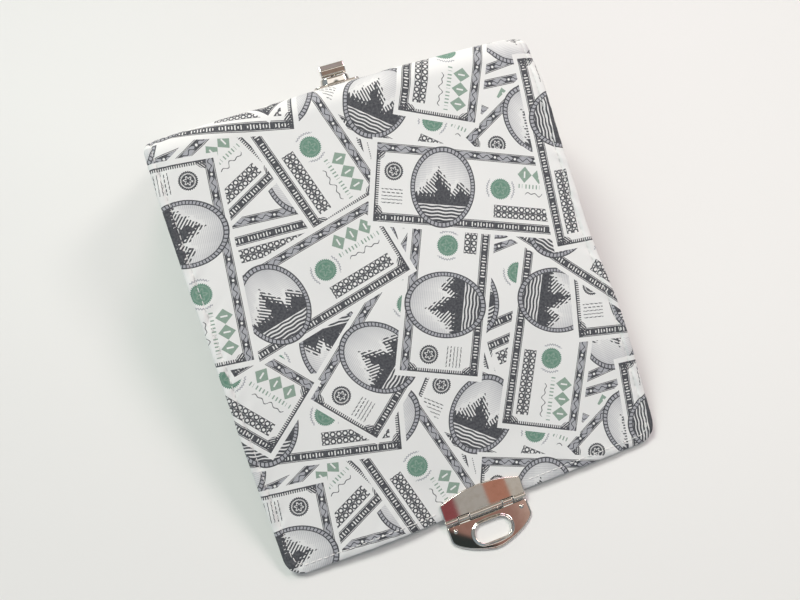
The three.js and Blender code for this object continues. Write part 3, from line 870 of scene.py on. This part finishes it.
def slip_charcoal(x, y):
    """Charcoal mask inside a slip's border: a lace band, a flourish, rows of short strokes and a seal."""
    # Lace: arches between rails.
    lace_pitch, lace_row, lace_shift, lace_area = 3.0, 3.4, 13.4, (11.0, 44.0, -13.2, -6.8)
    arch_line, rail_line = (1.1, 0.36), (1.45, 0.22)
    lace_x = x.cell(lace_pitch)
    lace_y = (y + lace_shift).cell(lace_row)
    arch = (lace_x * lace_x + lace_y * lace_y).root().near(*arch_line)
    rails = abs(lace_y).near(*rail_line)
    lace = (arch | rails) * inside(x, y, lace_area)
    # Flourish: the product of a quick and a slow wave.
    quick_wave, slow_wave, swing_height = 1.15, 0.31, 1.2
    flourish_line, flourish_span = (0.2, 0.22), (27.0, 44.0)
    swing = x.wave(quick_wave) * x.wave(slow_wave) * swing_height
    flourish = (y - swing).near(*flourish_line) * x.within(*flourish_span)
    row_dashes, stroke_dashes, stroke_wave = (1.7, 0.5), (2.3, 1.6), (2.3, 2.0)
    stroke_area = (-46.0, -35.5, -11.0, -2.5)
    strokes = y.dashes(*row_dashes) * (x + y.sway(*stroke_wave)).dashes(*stroke_dashes)
    strokes = strokes * inside(x, y, stroke_area)
    seal, open_lines = slip_seal(
        x, y, centre=(-40.5, 6.0), radius=4.6, teeth=(28, 0.2), ring=(3.4, 0.22), petals=(6.0, 0.5),
        petal_line=(1.6, 0.3))[1:]
    return lace | flourish | strokes | seal * (1 - open_lines)


def slip_greens(x, y, shade, colours):
    """A colour with a slip's green inks laid over it: lozenges, strokes, and a seal between upright bars."""
    row_start, row_end, row_height = 22.5, 45.3, 9.9
    lozenge_pitch, lozenge_half, slit_half = 7.6, (3.7, 4.2), (0.4, 1.7)
    tally_dashes, tally_groups, tally_area = (1.8, 0.65), (9.0, 7.4), (row_start, 45.5, 2.9, 5.0)
    lozenge_x = (x - row_start).cell(lozenge_pitch)
    lozenge_y = y - row_height
    lozenge = (abs(lozenge_x) / lozenge_half[0] + abs(lozenge_y) / lozenge_half[1]) < 1.0
    slit = (abs(lozenge_x) < slit_half[0]) * (abs(lozenge_y) < slit_half[1])
    row = lozenge * (1 - slit) * x.within(row_start, row_end)
    tally = x.dashes(*tally_dashes) * x.dashes(*tally_groups) * inside(x, y, tally_area)
    shade = (row | tally).mixed(shade, colours.sage)
    centre, bar_line, bar_side = (14.0, 1.5), (7.0, 0.35), 5.6
    reach, seal, pale_lines = slip_seal(
        x, y, centre, radius=5.2, teeth=(34, 0.28), ring=(4.0, 0.2), petals=(5.0, 0.8), petal_line=(1.9, 0.4))
    shade = seal.mixed(shade, colours.seal)
    shade = (pale_lines * seal).mixed(shade, colours.sage)
    bars = reach.near(*bar_line) * (abs(x - centre[0]) > bar_side)
    return bars.mixed(shade, colours.grey)


def slip_print(x, y, colours):
    """Colour of a printed slip: each ink is a mask, laid over the paper in turn, with the oval on top."""
    oval_left = 15.5
    border, grey = slip_border(x, y)
    ink = border | slip_charcoal(x, y)
    shade = grey.mixed(ink.mixed(colours.paper, colours.charcoal), colours.grey)
    shade = slip_greens(x, y, shade, colours)
    field, share = slip_oval(x + oval_left, y, colours)
    return (share < 1.0).mixed(shade, field)


def woven(across, along, thread, mottle, strength, depth):
    """Bump of woven cloth: crossing sines as threads of that size, with a mottle added."""
    height = across.wave(TAU / thread) * along.wave(TAU / thread) + mottle
    return mottle.node("ShaderNodeBump", None, {"Strength": strength, "Distance": depth, "Height": height})


def darkened(shade, shares):
    """A colour with each of its three parts taken down to a share."""
    return (*(value * share for value, share in zip(shade, shares)), 1.0)


def printed_cotton(colours):
    """White cotton printed all over with slips of paper in charcoal and green, its weave as a fine bump."""
    made, shader, wire = material("slip_print", {"Specular IOR Level": 0.25, "Sheen Weight": 0.06})
    place = wire.node("ShaderNodeUVMap", {"uv_map": "cloth"})
    local = topmost_slip(place)
    shade = slip_print(local.part(0), local.part(1), colours)
    tone = place.noise(0.9, 3.0)
    fade_from, fade = 0.35, 0.22
    shade = ((tone - fade_from) * fade).mixed(shade, colours.paper)
    weave = woven(place.part(0), place.part(1), thread=0.46, mottle=tone, strength=0.22, depth=0.06 * MM)
    connect(shader, {"Base Color": shade, "Roughness": tone * 0.2 + 0.68, "Normal": weave})
    return made


def plain_cotton(name, shade, thread):
    """Plain woven cotton: crossing sines as threads of that size, and a faint mottle."""
    made, shader, wire = material(name, {"Specular IOR Level": 0.2, "Sheen Weight": 0.08})
    place = wire.node("ShaderNodeTexCoord", output="Object")
    mottle = place.noise(420.0)
    weave = woven(place.part(0), place.part(1) + place.part(2), thread, mottle, strength=0.3, depth=0.08 * MM)
    tones = mottle.mixed(shade, darkened(shade, (0.9, 0.9, 0.9)))
    connect(shader, {"Base Color": tones, "Roughness": mottle * 0.2 + 0.7, "Normal": weave})
    return made


def polished_nickel(colours):
    """Polished nickel plate: mirror bright, with fine hairlines, a faint mottle and rubbed spots."""
    made, shader, wire = material(METAL_FINISH, {"Metallic": 1.0})
    place = wire.node("ShaderNodeTexCoord", output="Object")
    drawn = wire.node("ShaderNodeMapping", None, {"Vector": place, "Scale": (240.0, 5200.0, 5200.0)})
    hairline = drawn.noise(1.0, 3.0)
    mottle = place.noise(300.0, 3.0)
    tarnish = darkened(colours.nickel, (0.86, 0.83, 0.78))
    tarnish_from, tarnish_gain = 0.45, 2.0
    shade = ((mottle - tarnish_from) * tarnish_gain).mixed(colours.nickel, tarnish)
    fine = wire.node("ShaderNodeBump", None, {"Strength": 0.05, "Distance": 0.002 * MM, "Height": hairline})
    roughness = mottle * 0.03 + hairline * 0.02 + 0.004
    connect(shader, {"Base Color": shade, "Roughness": roughness, "Normal": fine})
    return made


def pale_table(colours):
    """Matt pale table top with a faint mottle."""
    made, shader, wire = material("pale_table", {"Specular IOR Level": 0.3})
    place = wire.node("ShaderNodeTexCoord", output="Object")
    mottle = place.noise(3.0)
    tones = mottle.mixed(colours.table, darkened(colours.table, (0.97, 0.97, 0.97)))
    connect(shader, {"Base Color": tones, "Roughness": mottle * 0.1 + 0.45})
    return made


# Pieces


class WALLET_OT_cover(bpy.types.Operator):
    """Make the printed fabric cover in the place of its solid"""

    bl_idname = "wallet.cover"
    bl_label = "Cover"

    def execute(self, context):
        sizes = context.scene.wallet_cover
        colours = context.scene.wallet_colours
        total = cover_length(sizes)
        fold = fold_end(sizes)
        bend = fold - sizes.fold_radius * abs(fold_angle(sizes))
        inset = EDGE_STEPS[-1]
        stations = np.unique(np.concatenate([
            EDGE_STEPS,
            np.arange(inset, bend, ROW_GAP),
            np.arange(bend, fold, FOLD_GAP),
            np.arange(fold, total - inset, ROW_GAP),
            total - EDGE_STEPS,
        ]).round(decimals=7))
        half = sizes.width / 2
        middle = np.linspace(-half + inset, half - inset, COLUMNS)[1:-1]
        columns = np.concatenate([-half + EDGE_STEPS, middle, (half - EDGE_STEPS)[::-1]]) / half
        row = stations[:, None] + np.zeros_like(columns)
        end_gap = np.clip(sizes.corner - np.minimum(row, total - row), 0, sizes.corner)
        cut = sizes.corner - np.sqrt(np.clip(sizes.corner ** 2 - end_gap ** 2, 0, None))
        x = columns * (half_width(sizes, columns + 0 * row, row) - cut)
        part = skin(cover_point(sizes, x, row, 1), cover_point(sizes, x, row, -1))
        lining = plain_cotton("plain_lining", colours.lining, thread=0.5 * MM)
        made = piece("fabric_cover", part, [printed_cotton(colours), lining], WALLET, ["cover"])
        mesh = made.data
        inner = np.zeros(len(mesh.polygons), np.int32)
        inner[len(inner) // 2:] = 1
        mesh.polygons.foreach_set("material_index", inner)
        cloth = np.stack([x, row], axis=-1) / MM
        flat = np.concatenate([cloth.reshape(-1, 2), cloth[~border_of(x.shape)]])
        corners = np.zeros(len(mesh.loops), np.int32)
        mesh.loops.foreach_get("vertex_index", corners)
        mesh.uv_layers.new(name="cloth").data.foreach_set("uv", flat[corners].astype(np.float32).ravel())
        return {"FINISHED"}


class WALLET_OT_stitches(bpy.types.Operator):
    """Sew the seam round the cover's edge"""

    bl_idname = "wallet.stitches"
    bl_label = "Stitches"

    def execute(self, context):
        sizes = context.scene.wallet_cover
        total = cover_length(sizes)
        inset = sizes.corner - sizes.seam
        turn = np.linspace(0, math.pi / 2, num=12)
        side = np.linspace(sizes.corner, total - sizes.corner, num=240)
        end = sizes.width / 2 - sizes.corner
        # The seam's line on the flat cloth: right side, far end, left side and near end with round corners.
        x = np.concatenate([
            half_width(sizes, side, side) - sizes.seam,
            end + inset * np.cos(turn),
            -end - inset * np.sin(turn),
            -half_width(sizes, -side, side[::-1]) + sizes.seam,
            -end - inset * np.cos(turn),
            end + inset * np.sin(turn)])
        station = np.concatenate([
            side,
            total - sizes.corner + inset * np.sin(turn),
            total - sizes.corner + inset * np.cos(turn),
            side[::-1],
            sizes.corner - inset * np.sin(turn),
            sizes.corner - inset * np.cos(turn)])
        x = np.append(x, x[0])
        station = np.append(station, station[0])
        reach = np.concatenate([[0], np.cumsum(np.hypot(np.diff(x), np.diff(station)))])
        count = round(reach[-1] / sizes.stitch_pitch)
        middle = (np.arange(count) + 0.5) * reach[-1] / count

        def on_seam(run):
            """Places across and along the cloth at distances along the seam."""
            return np.interp(run, reach, x), np.interp(run, reach, station)

        # No stitch shows where the lock covers the seam.
        at_x, at_station = on_seam(middle)
        hidden = (np.abs(at_x - sizes.lock_shift) < LOCK_HIDES[0]) & (at_station < LOCK_HIDES[1])
        share, sink, thick = STITCH.T
        at = middle[~hidden][:, None] + share * sizes.stitch
        step = 0.05 * MM
        seam = cover_point(sizes, *on_seam(at), 1)
        along = cover_point(sizes, *on_seam(at + step), 1) - seam
        along /= np.linalg.norm(along, axis=-1, keepdims=True)
        heading = fold_line(sizes, on_seam(at)[1])[2]
        out = np.stack([np.zeros_like(heading), -np.sin(heading), np.cos(heading)], axis=-1)
        over = np.cross(out, along)
        over /= np.linalg.norm(over, axis=-1, keepdims=True)
        bearings = np.linspace(0, TAU, num=6, endpoint=False)
        ring = np.cos(bearings)[:, None] * over[..., None, :] + np.sin(bearings)[:, None] * out[..., None, :]
        middles = seam + out * sink[:, None] * sizes.thread
        rings = middles[..., None, :] + ring * thick[:, None, None] * sizes.thread
        # A ring turns anticlockwise about the way that its stitch runs.
        part = joined([loft(one[::-1]) for one in rings])
        thread = plain_cotton("sewing_thread", context.scene.wallet_colours.thread, thread=0.3 * MM)
        piece("seam_stitches", part, [thread], WALLET)
        return {"FINISHED"}


def polished_metal():
    """The one nickel finish that all metal pieces share."""
    found = bpy.data.materials.get(METAL_FINISH)
    return found or polished_nickel(bpy.context.scene.wallet_colours)


def metal(name, parts, origin, slope, body, node, sharp=PLATE_SHARP):
    """A metal piece of parts, set in at an origin and a slope, in the place of a node's solid."""
    part = set_in(joined(parts), origin, slope)
    piece(name, part, [polished_metal()], body, [node], sharp)


def lock_half_width(sizes):
    """Half the width of the lock: five knuckles and the gaps between them."""
    return sizes.end_knuckle + sizes.hasp_knuckle + sizes.middle_knuckle / 2 + 2 * sizes.fit


class WALLET_OT_clamp(bpy.types.Operator):
    """Make the clamp on the flap's end"""

    bl_idname = "wallet.clamp"
    bl_label = "Clamp"

    def execute(self, context):
        sizes = context.scene.wallet_lock
        cover = context.scene.wallet_cover
        half = lock_half_width(sizes)
        start = cover.flap_start
        end = start + sizes.leaf_end
        top = start + sizes.leaf_middle
        share = np.linspace(0, 1, num=30)
        bow = np.stack([half * (1 - 2 * share), end + (top - end) * 4 * share * (1 - share)], axis=-1)
        outline = rounded(np.concatenate([[(-half, start), (half, start)], bow]), PLATE_CORNER)
        centre = np.array([0, (start + end) / 2])
        bearings = bearing_ring(count=240)
        rim = reach_of(outline - centre, bearings)
        low = sizes.barrel - sizes.leaf_wall
        high = sizes.barrel
        hub, low_ring, high_ring = 0.02 * rim, 0.6 * rim, 0.5 * rim
        rings = [(hub, low), (low_ring, low)]
        rings += [(rim - inset * MM, low + rise * sizes.leaf_wall) for inset, rise in LEAF_EDGE]
        rings += stepped(rim, high, LEAF_TOP) + [(high_ring, high), (hub, high)]
        parts = [moved(loft(ring_stack(bearings, rings)), (0, centre[1], 0))]
        back_top = cover.flap_offset - cover.wall / 2 - sizes.fit
        back_low = back_top - sizes.back_leaf_wall
        near = sizes.barrel - sizes.web
        edge = 0.18 * MM
        parts.append(block(-half, half, near, sizes.back_leaf_reach, back_low, back_top, edge))
        tongue_low, tongue_high = low - 0.2 * MM, low + 0.3 * MM
        middle = sizes.middle_knuckle / 2
        inner = half - sizes.end_knuckle
        for x0, x1 in ((-half, -inner), (-middle, middle), (inner, half)):
            parts.append(knuckle(sizes, x0, x1, CLAMP_SEAM))
            parts.append(block(x0, x1, 0, start + sizes.leaf_wall, tongue_low, tongue_high, edge))
            parts.append(block(x0, x1, near, sizes.barrel, back_low, -sizes.bore, edge))
        metal("clamp_plate", parts, PIN, cover.flap_slope, WALLET, "flap_clamp")
        return {"FINISHED"}


class WALLET_OT_hasp(bpy.types.Operator):
    """Make the swinging hasp with its rimmed slot"""

    bl_idname = "wallet.hasp"
    bl_label = "Hasp"

    def execute(self, context):
        sizes = context.scene.wallet_lock
        half = lock_half_width(sizes)
        low = -PIN[2]
        top = low + sizes.hasp_wall
        tip_share = 0.94
        share = np.linspace(0, tip_share, num=18)[:, None]
        bend = np.array([(-half, -sizes.hasp_side), (-half, -sizes.hasp_shoulder),
                         (-half / 2, -sizes.hasp_taper), (0, -sizes.hasp_depth)])
        left = ((1 - share) ** 3 * bend[0] + 3 * (1 - share) ** 2 * share * bend[1]
                + 3 * (1 - share) * share ** 2 * bend[2] + share ** 3 * bend[3])
        head = [(half, -sizes.hasp_gap), (-half, -sizes.hasp_gap)]
        outline = rounded(np.concatenate([head, left, left[::-1] * np.array([-1, 1])]), PLATE_CORNER)
        centre = np.array([0, -sizes.slot_depth])
        bearings = bearing_ring(count=240)
        outer = reach_of(outline - centre, bearings)
        slot = reach_of(oval(sizes.slot_length, sizes.slot_height), bearings)
        # From the foot of the outer edge over the plate and the slot's lip, and back below.
        rings = stepped(outer, low, HASP_FOOT) + stepped(outer, top, HASP_EDGE)
        rings += stepped(slot, top, SLOT_LIP) + stepped(slot, low, SLOT_FOOT)
        parts = [moved(loft(ring_stack(bearings, rings), closed=True), (0, centre[1], 0))]
        tongue_near, tongue_top, edge = -sizes.hasp_gap - 1.0 * MM, top - 0.1 * MM, 0.15 * MM
        inner = sizes.middle_knuckle / 2 + sizes.fit
        for side in (-1, 1):
            ends = sorted((side * inner, side * (inner + sizes.hasp_knuckle)))
            parts.append(knuckle(sizes, *ends, HASP_SEAM))
            parts.append(block(*ends, tongue_near, 0, low, tongue_top, edge))
            parts.append(block(*ends, -sizes.barrel, 0, low, -sizes.bore, edge))
            parts.append(moved(dome(sizes.stud), (side * sizes.stud_offset, -sizes.stud_depth, top)))
        metal("hasp_plate", parts, PIN, 0.0, HASP, "hasp")
        return {"FINISHED"}


class WALLET_OT_catch(bpy.types.Operator):
    """Make the catch's base plate with its oval boss and prongs"""

    bl_idname = "wallet.catch"
    bl_label = "Catch base"

    def execute(self, context):
        sizes = context.scene.wallet_lock
        cover = context.scene.wallet_cover
        bearings = bearing_ring(count=200)
        w, h = sizes.base_length / 2, sizes.base_height / 2
        corners = [(w, -h), (w, h), (-w, h), (-w, -h)]
        plate = reach_of(rounded(corners, sizes.base_corner, steps=12), bearings)
        boss = reach_of(oval(sizes.boss_length, sizes.boss_height), bearings)
        hole = sizes.stem + sizes.fit
        recess = sizes.stem_head + sizes.fit
        recess_top = 3 * sizes.fit + sizes.stem_head_wall
        base, top, low = sizes.base_top, sizes.boss_top, sizes.fit
        # Up the plate's edge, over the plate, up the boss, over its top and down the stem's hole.
        rings = stepped(plate, low, BASE_FOOT) + stepped(plate, base, BASE_EDGE)
        rings += stepped(boss, base, BOSS_FOOT) + stepped(boss, top, BOSS_EDGE)
        rings += stepped(hole, top, HOLE_EDGE) + [(hole, recess_top), (recess, recess_top), (recess, low)]
        parts = [loft(ring_stack(bearings, rings), closed=True)]
        prong_top, edge = base - 0.3 * MM, 0.15 * MM
        half, wall = sizes.prong_length / 2, sizes.prong_wall / 2
        for middle in (-sizes.prong_offset, sizes.prong_offset):
            parts.append(block(middle - half, middle + half, -wall, wall, sizes.prong_low, prong_top, edge))
        metal("catch_plate", parts, CATCH, cover.front_slope, WALLET, "catch_base")
        return {"FINISHED"}


class WALLET_OT_knob(bpy.types.Operator):
    """Make the knob that turns on the catch"""

    bl_idname = "wallet.knob"
    bl_label = "Knob"

    def execute(self, context):
        sizes = context.scene.wallet_lock
        low = sizes.knob_low
        side = low + sizes.knob_foot
        eave = side + sizes.knob_side
        roof = eave + sizes.knob_roof
        wide, top = sizes.knob_width / 2, sizes.knob_top / 2
        foot = wide - sizes.knob_foot
        corners = [(-foot, low), (foot, low), (wide, side), (wide, eave),
                   (top, roof), (-top, roof), (-wide, eave), (-wide, side)]
        section = rounded(corners, KNOB_CORNER)
        half = sizes.knob_length / 2
        head_low = 2 * sizes.fit
        stem_edge, head_edge = 0.1 * MM, 0.15 * MM
        parts = [
            loft(along_x(section, both_ends(-half, half, KNOB_END))),
            rod(sizes.stem, head_low, side, stem_edge),
            rod(sizes.stem_head, head_low, head_low + sizes.stem_head_wall, head_edge),
        ]
        slope = context.scene.wallet_cover.front_slope
        metal("knob_bar", parts, CATCH, slope, KNOB, "turn_knob", KNOB_SHARP)
        return {"FINISHED"}


class WALLET_OT_fittings(bpy.types.Operator):
    """Finish the solids that are kept: the hinge pin and the washer inside the front panel"""

    bl_idname = "wallet.fittings"
    bl_label = "Pin and washer"

    def execute(self, context):
        for name in ("hinge_pin", "catch_washer"):
            mesh = frame["nodes"][name].data
            mesh.materials.clear()
            mesh.materials.append(polished_metal())
        return {"FINISHED"}


class WALLET_OT_stage(bpy.types.Operator):
    """Set the table, the light and the camera"""

    bl_idname = "wallet.stage"
    bl_label = "Stage"

    def execute(self, context):
        scene = context.scene
        reach = TABLE_REACH
        corners = [(-reach, -reach, 0), (reach, -reach, 0), (reach, reach, 0), (-reach, reach, 0)]
        mesh = bpy.data.meshes.new("table")
        mesh.from_pydata(corners, [], [(0, 1, 2, 3)])
        mesh.materials.append(pale_table(scene.wallet_colours))
        table = bpy.data.objects.new("table", mesh)
        scene.collection.objects.link(table)
        for row in LAMPS:
            lamp(scene, *row)
        room(scene)
        camera = bpy.data.cameras.new("photo_camera")
        camera.sensor_width = SENSOR
        camera.lens = LENS
        camera.clip_start, camera.clip_end = CLIP
        made = bpy.data.objects.new("photo_camera", camera)
        made.matrix_world = CAMERA
        scene.collection.objects.link(made)
        scene.camera = made
        scene.view_settings.view_transform = "Standard"
        return {"FINISHED"}


def lamp(scene, name, place, size, power, tint):
    """A soft panel of light at a place, with its width level, aimed at the wallet's middle."""
    light = bpy.data.lights.new(name, "AREA")
    light.shape = "RECTANGLE"
    light.size, light.size_y = size
    light.energy = power
    light.color = tint
    made = bpy.data.objects.new(name, light)
    made.location = place
    made.rotation_euler = Vector(place).to_track_quat("Z", "Y").to_euler()
    scene.collection.objects.link(made)


def room(scene):
    """The room as the world's light: dim walls, a little lighter to the left, and what the metal mirrors.

    A band from the near side over the zenith holds zones of cloth, white and warm tones on an olive ground.
    """
    world = bpy.data.worlds.new("pale_room")
    world.use_nodes = True
    tree = world.node_tree
    look = Wire(tree).node("ShaderNodeTexCoord", output="Generated")
    x, y = look.part(0), look.part(1)
    rightward = x.ramp(-0.6, 0.6)
    nearer = rightward.mixed((0.31, 0.39, 0.45, 1.0), (0.20, 0.235, 0.26, 1.0))
    farther = rightward.mixed((0.33, 0.355, 0.365, 1.0), (0.20, 0.205, 0.21, 1.0))
    walls = y.ramp(-0.5, 0.5).mixed(nearer, farther)
    # A cloth from left to right: where a stripe begins and where it is full, tone.
    stripes = (
        (0.098, 0.108, (0.46, 0.445, 0.425, 1.0)),
        (0.147, 0.152, (0.47, 0.225, 0.165, 1.0)),
        (0.180, 0.184, (0.56, 0.53, 0.49, 1.0)),
    )
    cloth = (0.29, 0.085, 0.095, 1.0)
    for begin, full, tone in stripes:
        cloth = x.ramp(begin, full).mixed(cloth, tone)
    warm = x.ramp(0.165, 0.215).mixed((0.35, 0.20, 0.17, 1.0), (0.62, 0.45, 0.39, 1.0))
    warm = (y + x * 0.75).ramp(0.078, 0.088).mixed((0.035, 0.045, 0.045, 1.0), warm)
    # Zones from the near side on: middle, half width, where the zone has faded out, tone.
    zones = (
        (-0.71, 0.10, 0.14, cloth),
        (-0.46, 0.12, 0.14, (0.33, 0.25, 0.21, 1.0)),
        (-0.22, 0.13, 0.15, (1.35, 1.32, 1.28, 1.0)),
        (0.0, 0.06, 0.12, warm),
        (0.62, 0.12, 0.16, (0.44, 0.39, 0.39, 1.0)),
    )
    above = (0.34, 0.335, 0.26, 1.0)
    for middle, half, faded, tone in zones:
        above = abs(y - middle).ramp(half, faded).mixed(tone, above)
    band = (1 - abs(x - 0.14).ramp(0.16, 0.26)) * y.ramp(-0.92, -0.84)
    tree.links.new(band.mixed(walls, above).socket, tree.nodes["Background"].inputs["Color"])
    scene.world = world


class WALLET_PT_panel(bpy.types.Panel):
    """Lists the wallet's pieces and sizes"""

    bl_idname = "WALLET_PT_panel"
    bl_label = "Fabric wallet"
    bl_space_type = "VIEW_3D"
    bl_region_type = "UI"
    bl_category = "Wallet"

    def draw(self, context):
        for operator in OPERATORS:
            self.layout.operator(operator.bl_idname)
        for group in (context.scene.wallet_cover, context.scene.wallet_lock, context.scene.wallet_colours):
            column = self.layout.column()
            for name in group.__annotations__:
                column.prop(group, name)


GROUPS = {"wallet_cover": CoverSizes, "wallet_lock": LockSizes, "wallet_colours": WalletColours}
OPERATORS = (
    WALLET_OT_cover, WALLET_OT_stitches, WALLET_OT_clamp, WALLET_OT_hasp,
    WALLET_OT_catch, WALLET_OT_knob, WALLET_OT_fittings, WALLET_OT_stage,
)


def register():
    """Adds the classes and the scene's settings."""
    for made in (*GROUPS.values(), *OPERATORS, WALLET_PT_panel):
        bpy.utils.register_class(made)
    for name, group in GROUPS.items():
        setattr(bpy.types.Scene, name, bpy.props.PointerProperty(type=group))


def unregister():
    """Removes the scene's settings and the classes."""
    for name in GROUPS:
        delattr(bpy.types.Scene, name)
    for made in (WALLET_PT_panel, *OPERATORS, *GROUPS.values()):
        bpy.utils.unregister_class(made)


def main():
    """Makes all pieces and the stage."""
    register()
    bpy.ops.wallet.cover()
    bpy.ops.wallet.stitches()
    bpy.ops.wallet.clamp()
    bpy.ops.wallet.hasp()
    bpy.ops.wallet.catch()
    bpy.ops.wallet.knob()
    bpy.ops.wallet.fittings()
    bpy.ops.wallet.stage()


if __name__ == "__main__":
    main()
